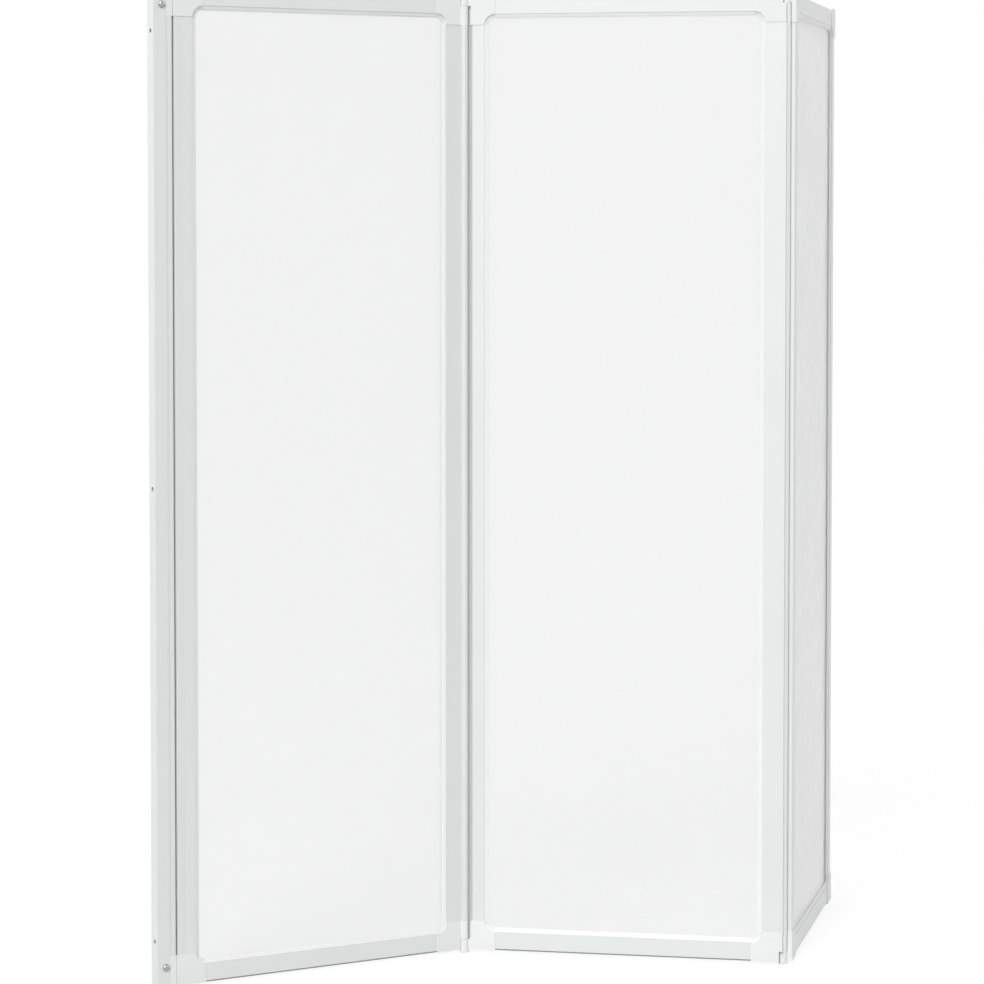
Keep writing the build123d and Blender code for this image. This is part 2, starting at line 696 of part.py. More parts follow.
for number, axis in enumerate((axis_0, axis_1, axis_2)):
    print(f"hinge_{number} axis x {axis.X:.3f} y {axis.Y:.3f}")
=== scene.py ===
import json
import math

import bmesh
import bpy
from mathutils import Matrix, Vector


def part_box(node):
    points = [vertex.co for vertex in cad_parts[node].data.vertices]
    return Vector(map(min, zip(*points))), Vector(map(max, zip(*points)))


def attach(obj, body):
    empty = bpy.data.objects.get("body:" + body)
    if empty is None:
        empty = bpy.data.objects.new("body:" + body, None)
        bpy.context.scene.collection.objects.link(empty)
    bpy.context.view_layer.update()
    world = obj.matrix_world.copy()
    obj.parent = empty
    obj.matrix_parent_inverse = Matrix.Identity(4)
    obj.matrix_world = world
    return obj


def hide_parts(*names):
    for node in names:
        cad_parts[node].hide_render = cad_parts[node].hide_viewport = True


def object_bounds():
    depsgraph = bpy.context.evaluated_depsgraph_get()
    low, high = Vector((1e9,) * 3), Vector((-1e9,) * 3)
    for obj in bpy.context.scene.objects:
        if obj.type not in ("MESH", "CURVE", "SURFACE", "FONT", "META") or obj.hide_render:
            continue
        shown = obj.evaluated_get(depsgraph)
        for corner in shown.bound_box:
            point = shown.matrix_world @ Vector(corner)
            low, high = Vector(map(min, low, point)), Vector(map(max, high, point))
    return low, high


bl_info = {
    "name": "Folding Bath Screen",
    "version": (1, 0, 0),
    "blender": (4, 5, 0),
    "location": "View3D > Sidebar > Bath Screen",
    "description": "Dresses the packed bath screen: metal, mouldings, sheets, seals, screws, pins and stage",
    "category": "Object",
}

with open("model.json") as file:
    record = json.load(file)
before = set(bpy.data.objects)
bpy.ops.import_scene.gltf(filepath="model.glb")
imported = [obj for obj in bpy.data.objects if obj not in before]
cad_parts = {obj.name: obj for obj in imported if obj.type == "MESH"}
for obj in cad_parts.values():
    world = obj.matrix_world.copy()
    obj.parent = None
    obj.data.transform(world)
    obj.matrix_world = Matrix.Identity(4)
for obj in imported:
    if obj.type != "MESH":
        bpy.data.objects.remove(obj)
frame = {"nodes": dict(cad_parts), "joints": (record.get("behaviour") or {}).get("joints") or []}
cad_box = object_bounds()

MM = 0.001
PANELS = ("panel_1", "panel_2", "panel_3")
PANEL_TURN = {"panel_1": 0.0, "panel_2": -42.3, "panel_3": 46.3}
LEFT_HINGE = {"panel_1": ("hinge_wall", 1), "panel_2": ("hinge_middle", -1), "panel_3": ("hinge_outer", 1)}
CORNER_PLACES = ("top_left", "top_right", "bottom_left", "bottom_right")
PIN_NODES = {"post_pins": "wall_post", "panel_1_pins": "panel_1", "panel_2_pins": "panel_2"}

# Die lines on the metal: how many to a metre, and how slowly they vary along a profile.
DIE_LINES = 650.0
DIE_LINE_STRETCH = 0.012

# Rounding a CAD node: points this close are one (metres), angles in degrees, least edge in roundings.
SAME_POINT = 2e-6
FLAT_ANGLE = 0.6
SHARP_ANGLE = 35.0
SHORTEST_EDGE = 2.2

# Section of a glazing lip: shares of the slope's width, and heights over the slope in lip thicknesses.
LIP_PROFILE = (
    (0.02, 0.05), (0.06, 0.9), (0.5, 1.0), (0.92, 1.0), (1.02, 0.7),
    (1.07, 0.0), (1.07, -1.2), (1.01, -1.2), (1.01, 0.05),
)

# Steps of the ring on a sheet, inwards: shares of the lip's reach, and rises in lip thicknesses.
RING_STEPS = ((0.1, 1.3), (0.5, 0.0), (0.4, -1.1))
RING_CLEARANCE = 0.02 * MM

# Clamp screws: the chamfer at the shank's tip, the head's seat and the steps of its dome.
SHANK_TIP_INSET = 0.3 * MM
SHANK_TIP_HEIGHT = 0.4 * MM
HEAD_SEAT_INSET = 0.15 * MM
HEAD_SEAT_HEIGHT = 0.1 * MM
HEAD_LIP = 0.3 * MM
DOME_STEPS = 12

# Pins: the chamfer at the tip, the rounding of a disc's rim (share of its thickness) and the dimple
# in its face (shares of its radius).
PIN_TIP_INSET = 0.4 * MM
PIN_TIP_HEIGHT = 0.5 * MM
RIM_ROUNDING = 0.42
DIMPLE_OUTER = 0.45
DIMPLE_INNER = 0.35
DIMPLE_DEPTH = 0.3 * MM

# Lamps: azimuth from the front towards the left, elevation and spread, in degrees.
LAMPS = {"key": (50, 36, 14.0), "fill": (-70, 20, 50.0), "rear": (150, 30, 50.0)}
LAMP_DISTANCE = 4

# Floor: half its width, its gap under the part, its glow and the share of shadow that shows on it.
FLOOR_HALF = 60
FLOOR_GAP = 0.2 * MM
FLOOR_GLOW = 1.15
FLOOR_SHADOW = 0.25

# Camera: place in metres, tilt down and turn in degrees, shifts as shares of the picture's width.
CAMERA_PLACE = (-1.8041, -3.7666, 0.33887)
CAMERA_TILT = 2.9
CAMERA_TURN = -31.076
CAMERA_SHIFT = (0.0082, -0.1109)
CAMERA_SENSOR = 36
CAMERA_FAR = 200


class ScreenFinishes(bpy.types.PropertyGroup):
    """Colours and textures of the screen's own parts."""

    metal: bpy.props.FloatVectorProperty(
        name="Aluminium", description="Colour of the satin profiles", subtype="COLOR",
        default=(0.768, 0.797, 0.788),
    )
    metal_roughness: bpy.props.FloatProperty(
        name="Aluminium roughness", description="How matt the profiles are", default=0.46, min=0, max=1
    )
    moulding: bpy.props.FloatVectorProperty(
        name="Mouldings", description="Colour of the corners and end blocks", subtype="COLOR",
        default=(0.855, 0.873, 0.865),
    )
    sheet: bpy.props.FloatVectorProperty(
        name="Sheet", description="Tint of the translucent sheets", subtype="COLOR",
        default=(0.9, 0.906, 0.905),
    )
    # Sill seals: partly their own grey, partly painted shade, made darker so that they stand for the line of
    # shade under the rails.
    sill_seal: bpy.props.FloatVectorProperty(
        name="Sill seals", description="Colour of the seals under the rails", subtype="COLOR",
        default=(0.36, 0.37, 0.37),
    )
    hinge_seal: bpy.props.FloatVectorProperty(
        name="Hinge seals", description="Colour of the seals in the hinge gaps", subtype="COLOR",
        default=(0.66, 0.69, 0.69),
    )
    gasket: bpy.props.FloatVectorProperty(
        name="Glazing strips", description="Colour of the glazing strips", subtype="COLOR",
        default=(0.9, 0.915, 0.915),
    )
    chrome: bpy.props.FloatVectorProperty(
        name="Screw heads", description="Colour of the polished screws", subtype="COLOR",
        default=(0.4, 0.41, 0.42),
    )
    nylon: bpy.props.FloatVectorProperty(
        name="Pins", description="Colour of the nylon pins and glides", subtype="COLOR",
        default=(0.9, 0.9, 0.88),
    )
    drop_size: bpy.props.FloatProperty(
        name="Drop size", description="Width of one drop in the sheet's relief",
        default=5.5 * MM, unit="LENGTH",
    )


class ScreenSizes(bpy.types.PropertyGroup):
    """Sizes of the pieces that are modelled here."""

    moulding_round: bpy.props.FloatProperty(
        name="Moulding edges", description="Rounding of the moulded edges", default=0.35 * MM, unit="LENGTH"
    )
    head_radius: bpy.props.FloatProperty(
        name="Screw head radius", description="Radius of the domed heads", default=4.6 * MM, unit="LENGTH"
    )
    head_rise: bpy.props.FloatProperty(
        name="Screw head rise", description="Height of the CAD heads over their seats",
        default=1.8 * MM, unit="LENGTH",
    )
    head_dome: bpy.props.FloatProperty(
        name="Screw dome", description="How far a domed head stands out", default=3.2 * MM, unit="LENGTH"
    )
    shank_radius: bpy.props.FloatProperty(
        name="Screw shank radius", description="Radius of the screw shanks", default=2.0 * MM, unit="LENGTH"
    )
    pin_radius: bpy.props.FloatProperty(
        name="Pin radius", description="Radius of the hinge pins", default=2.5 * MM, unit="LENGTH"
    )
    cap_radius: bpy.props.FloatProperty(
        name="Cap radius", description="Radius of the caps on the upper pins", default=4.2 * MM, unit="LENGTH"
    )
    cap_thickness: bpy.props.FloatProperty(
        name="Cap thickness", description="Thickness of those caps", default=1.2 * MM, unit="LENGTH"
    )
    glide_radius: bpy.props.FloatProperty(
        name="Glide radius", description="Radius of the discs that slide on the rim",
        default=6.0 * MM, unit="LENGTH",
    )
    glide_thickness: bpy.props.FloatProperty(
        name="Glide thickness", description="Thickness of those discs", default=3.0 * MM, unit="LENGTH"
    )
    pin_length: bpy.props.FloatProperty(
        name="Pin length", description="Pin from its tip to its cap or disc", default=31.8 * MM, unit="LENGTH"
    )
    stile_face: bpy.props.FloatProperty(
        name="Stile face", description="Panel edge axis to the inner edge of a stile's face",
        default=25.9 * MM, unit="LENGTH",
    )
    rail_face: bpy.props.FloatProperty(
        name="Rail face", description="Outer edge of a rail to the inner edge of its face",
        default=21.5 * MM, unit="LENGTH",
    )
    slope_width: bpy.props.FloatProperty(
        name="Slope width", description="Width of the slope from a profile's face to the sheet",
        default=4.2 * MM, unit="LENGTH",
    )
    slope_level: bpy.props.FloatProperty(
        name="Slope level", description="Middle of the sheet to the top of the slope",
        default=3.5 * MM, unit="LENGTH",
    )
    groove_level: bpy.props.FloatProperty(
        name="Groove level", description="Middle of the sheet to the foot of the slope",
        default=2.3 * MM, unit="LENGTH",
    )
    sheet_level: bpy.props.FloatProperty(
        name="Sheet level", description="Middle of the sheet to its face", default=1.5 * MM, unit="LENGTH"
    )
    corner_cut: bpy.props.FloatProperty(
        name="Corner cut", description="Cut across the corners of the opening at the sheet",
        default=6.0 * MM, unit="LENGTH",
    )
    lip_thickness: bpy.props.FloatProperty(
        name="Lip thickness", description="Thickness of the soft lip on the slope",
        default=0.3 * MM, unit="LENGTH",
    )
    lip_reach: bpy.props.FloatProperty(
        name="Lip reach", description="How far the lip reaches over the sheet",
        default=1.8 * MM, unit="LENGTH",
    )
    axis_offset: bpy.props.FloatProperty(
        name="Hinge offset", description="Middle of a panel to its hinge axis",
        default=5.7 * MM, unit="LENGTH",
    )


class ScreenStudio(bpy.types.PropertyGroup):
    """Floor, light and camera."""

    floor: bpy.props.FloatVectorProperty(
        name="Floor", description="Colour of the floor and backdrop", subtype="COLOR",
        default=(0.62, 0.62, 0.62),
    )
    key: bpy.props.FloatProperty(
        name="Key lamp", description="Strength of the front left light", default=1.75
    )
    fill: bpy.props.FloatProperty(
        name="Fill lamp", description="Strength of the soft right light", default=0.48
    )
    rear: bpy.props.FloatProperty(
        name="Rear lamp", description="Strength of the soft light from behind", default=0.7
    )
    sky: bpy.props.FloatProperty(
        name="Sky", description="Strength of the even light from all round", default=0.5
    )
    lens: bpy.props.FloatProperty(
        name="Lens", description="Focal length in millimetres", default=126.7
    )


def add_node(tree, kind, **values):
    """A node with its sockets (by name) and its properties set."""
    node = tree.nodes.new(kind)
    for key, value in values.items():
        if key in node.inputs.keys():
            node.inputs[key].default_value = value
        else:
            setattr(node, key, value)
    return node


def new_group(name, inputs, outputs):
    """A node group with named sockets; returns its tree and its two ends."""
    tree = bpy.data.node_groups.new(name, "ShaderNodeTree")
    for label, kind, default in inputs:
        socket = tree.interface.new_socket(label, in_out="INPUT", socket_type=kind)
        socket.default_value = default
    for label, kind in outputs:
        tree.interface.new_socket(label, in_out="OUTPUT", socket_type=kind)
    return tree, tree.nodes.new("NodeGroupInput"), tree.nodes.new("NodeGroupOutput")


def use_group(tree, group, **values):
    """A node group in use, with some of its sockets set."""
    node = tree.nodes.new("ShaderNodeGroup")
    node.node_tree = group
    for key, value in values.items():
        node.inputs[key.replace("_", " ").capitalize()].default_value = value
    return node


def streaks_group():
    """Fine die lines along the Z axis of the vector: a value that varies across, hardly along."""
    tree, start, end = new_group(
        "Die lines",
        [("Vector", "NodeSocketVector", (0, 0, 0)), ("Lines per metre", "NodeSocketFloat", 700.0),
         ("Low", "NodeSocketFloat", 0.0), ("High", "NodeSocketFloat", 1.0)],
        [("Value", "NodeSocketFloat")],
    )
    across = add_node(tree, "ShaderNodeVectorMath", operation="MULTIPLY")
    across.inputs[1].default_value = (1.0, 1.0, DIE_LINE_STRETCH)
    noise = add_node(tree, "ShaderNodeTexNoise", Detail=2.0, Roughness=0.55)
    span = add_node(tree, "ShaderNodeMapRange")
    tree.links.new(start.outputs["Vector"], across.inputs[0])
    tree.links.new(across.outputs[0], noise.inputs["Vector"])
    tree.links.new(start.outputs["Lines per metre"], noise.inputs["Scale"])
    tree.links.new(noise.outputs["Fac"], span.inputs["Value"])
    tree.links.new(start.outputs["Low"], span.inputs["To Min"])
    tree.links.new(start.outputs["High"], span.inputs["To Max"])
    span.inputs["From Min"].default_value = 0.3
    span.inputs["From Max"].default_value = 0.7
    tree.links.new(span.outputs["Result"], end.inputs["Value"])
    return tree


def clouds_group():
    """Slow, soft variation, as handling and moulding leave."""
    tree, start, end = new_group(
        "Soft variation",
        [("Vector", "NodeSocketVector", (0, 0, 0)), ("Scale", "NodeSocketFloat", 9.0),
         ("Low", "NodeSocketFloat", 0.0), ("High", "NodeSocketFloat", 1.0)],
        [("Value", "NodeSocketFloat")],
    )
    noise = add_node(tree, "ShaderNodeTexNoise", Detail=4.0, Roughness=0.6)
    span = add_node(tree, "ShaderNodeMapRange")
    span.inputs["From Min"].default_value = 0.28
    span.inputs["From Max"].default_value = 0.72
    tree.links.new(start.outputs["Vector"], noise.inputs["Vector"])
    tree.links.new(start.outputs["Scale"], noise.inputs["Scale"])
    tree.links.new(noise.outputs["Fac"], span.inputs["Value"])
    tree.links.new(start.outputs["Low"], span.inputs["To Min"])
    tree.links.new(start.outputs["High"], span.inputs["To Max"])
    tree.links.new(span.outputs["Result"], end.inputs["Value"])
    return tree


def drops_group():
    """Relief of rounded drops pressed in a sheet."""
    tree, start, end = new_group(
        "Drop relief",
        [("Vector", "NodeSocketVector", (0, 0, 0)), ("Drops per metre", "NodeSocketFloat", 180.0)],
        [("Height", "NodeSocketFloat")],
    )
    warp = add_node(tree, "ShaderNodeTexNoise", Scale=60.0, Detail=1.0)
    shift = add_node(tree, "ShaderNodeMix", data_type="RGBA", blend_type="LINEAR_LIGHT")
    shift.inputs["Factor"].default_value = 0.004
    cells = add_node(tree, "ShaderNodeTexVoronoi", feature="F1", Randomness=0.85)
    dome = add_node(tree, "ShaderNodeMapRange", interpolation_type="SMOOTHSTEP")
    dome.inputs["From Min"].default_value = 0.0
    dome.inputs["From Max"].default_value = 0.62
    dome.inputs["To Min"].default_value = 1.0
    dome.inputs["To Max"].default_value = 0.0
    tree.links.new(start.outputs["Vector"], warp.inputs["Vector"])
    tree.links.new(start.outputs["Vector"], shift.inputs["A"])
    tree.links.new(warp.outputs["Color"], shift.inputs["B"])
    tree.links.new(shift.outputs["Result"], cells.inputs["Vector"])
    tree.links.new(start.outputs["Drops per metre"], cells.inputs["Scale"])
    tree.links.new(cells.outputs["Distance"], dome.inputs["Value"])
    tree.links.new(dome.outputs["Result"], end.inputs["Height"])
    return tree


def shared_groups():
    """The node groups that the materials share, each made once."""
    makers = {"Die lines": streaks_group, "Soft variation": clouds_group, "Drop relief": drops_group}
    return {name: bpy.data.node_groups.get(name) or make() for name, make in makers.items()}


def new_material(name):
    """An empty node material with its shader and its object coordinates."""
    material = bpy.data.materials.new(name)
    material.use_nodes = True
    tree = material.node_tree
    tree.nodes.clear()
    shader = tree.nodes.new("ShaderNodeBsdfPrincipled")
    output = tree.nodes.new("ShaderNodeOutputMaterial")
    place = tree.nodes.new("ShaderNodeTexCoord")
    tree.links.new(shader.outputs["BSDF"], output.inputs["Surface"])
    return material, tree, shader, place.outputs["Object"]


def tint_by(tree, shader, colour, value, depth):
    """Base colour that darkens a little with a value from 0 to 1."""
    mix = add_node(tree, "ShaderNodeMix", data_type="RGBA")
    mix.inputs["A"].default_value = (*colour, 1)
    mix.inputs["B"].default_value = (*[channel * (1 - depth) for channel in colour], 1)
    tree.links.new(value, mix.inputs["Factor"])
    tree.links.new(mix.outputs["Result"], shader.inputs["Base Color"])


def relief(tree, shader, height, strength, distance):
    """Fine bumps from a value that stands for height."""
    bump = add_node(tree, "ShaderNodeBump", Strength=strength, Distance=distance)
    tree.links.new(height, bump.inputs["Height"])
    tree.links.new(bump.outputs["Normal"], shader.inputs["Normal"])


def metal_material(name, finishes, turn, upright):
    """Satin anodised extrusion with die lines along the profile."""
    groups = shared_groups()
    material, tree, shader, place = new_material(name)
    axes = add_node(tree, "ShaderNodeMapping", vector_type="TEXTURE")
    if not upright:
        axes.inputs["Rotation"].default_value = Matrix.Rotation(math.radians(turn), 3, "Z").to_euler()
    tree.links.new(place, axes.inputs["Vector"])
    along = axes.outputs["Vector"]
    if not upright:
        swap = add_node(tree, "ShaderNodeSeparateXYZ")
        join = add_node(tree, "ShaderNodeCombineXYZ")
        tree.links.new(along, swap.inputs[0])
        tree.links.new(swap.outputs["Z"], join.inputs["X"])
        tree.links.new(swap.outputs["Y"], join.inputs["Y"])
        tree.links.new(swap.outputs["X"], join.inputs["Z"])
        along = join.outputs[0]
    lines = use_group(tree, groups["Die lines"], lines_per_metre=DIE_LINES)
    clouds = use_group(tree, groups["Soft variation"], scale=7.0)
    tree.links.new(along, lines.inputs["Vector"])
    tree.links.new(place, clouds.inputs["Vector"])
    tint_by(tree, shader, finishes.metal, clouds.outputs["Value"], depth=0.025)
    rough = use_group(tree, groups["Die lines"], lines_per_metre=DIE_LINES,
                      low=finishes.metal_roughness - 0.05, high=finishes.metal_roughness + 0.05)
    tree.links.new(along, rough.inputs["Vector"])
    tree.links.new(rough.outputs["Value"], shader.inputs["Roughness"])
    relief(tree, shader, lines.outputs["Value"], strength=0.12, distance=0.04 * MM)
    shader.inputs["Metallic"].default_value = 0.3
    return material


def moulded_material(name, colour, roughness, grain, depth):
    """Moulded plastic or rubber: a fine eroded grain and slightly uneven gloss."""
    groups = shared_groups()
    material, tree, shader, place = new_material(name)
    clouds = use_group(tree, groups["Soft variation"], scale=35.0)
    gloss = use_group(tree, groups["Soft variation"], scale=60.0, low=roughness - 0.05, high=roughness + 0.06)
    texture = use_group(tree, groups["Soft variation"], scale=grain)
    for group in (clouds, gloss, texture):
        tree.links.new(place, group.inputs["Vector"])
    tint_by(tree, shader, colour, clouds.outputs["Value"], depth)
    tree.links.new(gloss.outputs["Value"], shader.inputs["Roughness"])
    relief(tree, shader, texture.outputs["Value"], strength=0.15, distance=0.05 * MM)
    return material


def sheet_material(finishes):
    """Translucent sheet with a fine relief of drops on both faces."""
    groups = shared_groups()
    material, tree, shader, place = new_material("Drop patterned sheet")
    drops = use_group(tree, groups["Drop relief"], drops_per_metre=1 / finishes.drop_size)
    clouds = use_group(tree, groups["Soft variation"], scale=5.0)
    gloss = use_group(tree, groups["Soft variation"], scale=40.0, low=0.42, high=0.5)
    for group in (drops, clouds, gloss):
        tree.links.new(place, group.inputs["Vector"])
    tint_by(tree, shader, finishes.sheet, clouds.outputs["Value"], depth=0.008)
    tree.links.new(gloss.outputs["Value"], shader.inputs["Roughness"])
    relief(tree, shader, drops.outputs["Height"], strength=0.25, distance=0.3 * MM)
    shader.inputs["Transmission Weight"].default_value = 0.93
    shader.inputs["IOR"].default_value = 1.2
    shader.inputs["Specular IOR Level"].default_value = 0.35
    return material


def chrome_material(finishes):
    """Polished metal of the screws, a little uneven in gloss."""
    groups = shared_groups()
    material, tree, shader, place = new_material("Polished screw")
    clouds = use_group(tree, groups["Soft variation"], scale=240.0)
    gloss = use_group(tree, groups["Soft variation"], scale=400.0, low=0.26, high=0.34)
    for group in (clouds, gloss):
        tree.links.new(place, group.inputs["Vector"])
    tint_by(tree, shader, finishes.chrome, clouds.outputs["Value"], depth=0.06)
    tree.links.new(gloss.outputs["Value"], shader.inputs["Roughness"])
    shader.inputs["Metallic"].default_value = 1.0
    return material


def finish_node(name, material):
    """Puts a material on a CAD node."""
    materials = frame["nodes"][name].data.materials
    materials.clear()
    materials.append(material)


def piece_from(mesh_data, name, material, body):
    """Turns a bmesh into a finished piece that rides on a body."""
    bmesh.ops.remove_doubles(mesh_data, verts=mesh_data.verts, dist=1e-7)
    bmesh.ops.recalc_face_normals(mesh_data, faces=mesh_data.faces)
    mesh = bpy.data.meshes.new(name)
    mesh_data.to_mesh(mesh)
    mesh_data.free()
    mesh.materials.append(material)
    piece = bpy.data.objects.new(name, mesh)
    bpy.context.scene.collection.objects.link(piece)
    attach(piece, body)
    return piece


def soften(mesh, angle=35.0):
    """Smooth shading that keeps edges sharper than an angle."""
    for polygon in mesh.polygons:
        polygon.use_smooth = True
    mesh.set_sharp_from_angle(angle=math.radians(angle))


def turned_solid(mesh_data, outline, place, steps=48):
    """Spins an outline of (radius, height) round the Z axis of a placing matrix."""
    points = [mesh_data.verts.new((radius, 0, height)) for radius, height in outline]
    edges = [mesh_data.edges.new(pair) for pair in zip(points, points[1:])]
    bmesh.ops.spin(
        mesh_data, geom=points + edges, cent=(0, 0, 0), axis=(0, 0, 1), dvec=(0, 0, 0),
        angle=2 * math.pi, steps=steps, use_merge=True,
    )
    fresh = [vert for vert in mesh_data.verts if not vert.tag]
    bmesh.ops.transform(mesh_data, matrix=place, verts=fresh)
    for vert in fresh:
        vert.tag = True


def rounded_rim(radius, low, high, rounding, steps=5):
    """Outline points of a disc's rounded outer edge, from its lower to its upper face."""
    points = []
    for centre, start in ((low + rounding, -90), (high - rounding, 0)):
        for step in range(steps + 1):
            turn = math.radians(start + 90 * step / steps)
            points.append((radius - rounding + rounding * math.cos(turn), centre + rounding * math.sin(turn)))
    return points


def softened_copy(node, width, name, material, body):
    """A copy of a CAD node with its sharp edges rounded off, shown in its place."""
    mesh_data = bmesh.new()
    mesh_data.from_mesh(frame["nodes"][node].data)
    bmesh.ops.remove_doubles(mesh_data, verts=mesh_data.verts, dist=SAME_POINT)
    bmesh.ops.dissolve_limit(
        mesh_data, angle_limit=math.radians(FLAT_ANGLE), verts=mesh_data.verts, edges=mesh_data.edges
    )
    sharp = [
        edge for edge in mesh_data.edges
        if len(edge.link_faces) == 2 and edge.calc_face_angle(0) > math.radians(SHARP_ANGLE)
        and edge.calc_length() > SHORTEST_EDGE * width
    ]
    bmesh.ops.bevel(
        mesh_data, geom=sharp, offset=width, offset_type="OFFSET", affect="EDGES",
        segments=2, profile=0.5, material=-1, clamp_overlap=True,
    )
    piece = piece_from(mesh_data, name, material, body)
    soften(piece.data, 50.0)
    piece.modifiers.new("Even normals", "WEIGHTED_NORMAL").keep_sharp = True
    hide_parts(node)


def panel_place(panel):
    """Matrix of a panel's left foot: x along the panel, y to the back, z up."""
    joint, side = LEFT_HINGE[panel]
    axis = Vector(next(item["pos_m"] for item in frame["joints"] if item["name"] == joint))
    turn = Matrix.Rotation(math.radians(PANEL_TURN[panel]), 4, "Z")
    offset = side * bpy.context.scene.screen_sizes.axis_offset
    return Matrix.Translation(Vector((axis.x, axis.y, 0))) @ turn @ Matrix.Translation((0, -offset, 0))


def bar_between(mesh_data, section, start, end):
    """A straight bar: a closed section of points, given at its start, drawn out to its end."""
    corners = [mesh_data.verts.new(start + point) for point in section]
    face = mesh_data.faces.new(corners)
    drawn = bmesh.ops.extrude_face_region(mesh_data, geom=[face])
    moved = [item for item in drawn["geom"] if isinstance(item, bmesh.types.BMVert)]
    bmesh.ops.translate(mesh_data, verts=moved, vec=end - start)


def clamp_screw_places():
    """Middle of each head's seat, from the CAD screws' box."""
    low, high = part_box("clamp_screws")
    across = (low.x + high.x) / 2
    seat = low.y + bpy.context.scene.screen_sizes.head_rise
    reach = (high.z - low.z) / 2 - bpy.context.scene.screen_sizes.head_radius
    return [Vector((across, seat, side * reach)) for side in (-1, 1)], high.y - seat


class BATH_SCREEN_OT_profiles(bpy.types.Operator):
    """Satin aluminium with die lines on the channel, the post, the stiles and the rails"""

    bl_idname = "bath_screen.profiles"
    bl_label = "Dress the profiles"

    def execute(self, context):
        finishes = context.scene.screen_finishes
        upright = metal_material("Satin aluminium upright", finishes, 0.0, True)
        for name in ("wall_channel", "hinge_post"):
            finish_node(name, upright)
        for panel in PANELS:
            level = metal_material(f"Satin aluminium rail {panel[-1]}", finishes, PANEL_TURN[panel], False)
            for part in ("left_stile", "right_stile"):
                finish_node(f"{panel}_{part}", upright)
            for part in ("top_rail", "bottom_rail"):
                finish_node(f"{panel}_{part}", level)
        return {"FINISHED"}


class BATH_SCREEN_OT_mouldings(bpy.types.Operator):
    """White plastic corner pieces and end blocks with softened edges"""

    bl_idname = "bath_screen.mouldings"
    bl_label = "Make the mouldings"

    def execute(self, context):
        finishes = context.scene.screen_finishes
        plastic = moulded_material(
            "Moulded white plastic", finishes.moulding, roughness=0.42, grain=2200.0, depth=0.02
        )
        width = context.scene.screen_sizes.moulding_round
        for panel in PANELS:
            for place in CORNER_PLACES:
                node = f"{panel}_corner_{place}"
                softened_copy(node, width, f"{node}_softened", plastic, panel)
        for node in ("post_block_top", "post_block_bottom"):
            softened_copy(node, width, f"{node}_softened", plastic, "wall_post")
        return {"FINISHED"}


class BATH_SCREEN_OT_sheets(bpy.types.Operator):
    """Translucent sheets with a drop relief"""

    bl_idname = "bath_screen.sheets"
    bl_label = "Dress the sheets"

    def execute(self, context):
        translucent = sheet_material(context.scene.screen_finishes)
        for panel in PANELS:
            finish_node(f"{panel}_glass", translucent)
        return {"FINISHED"}


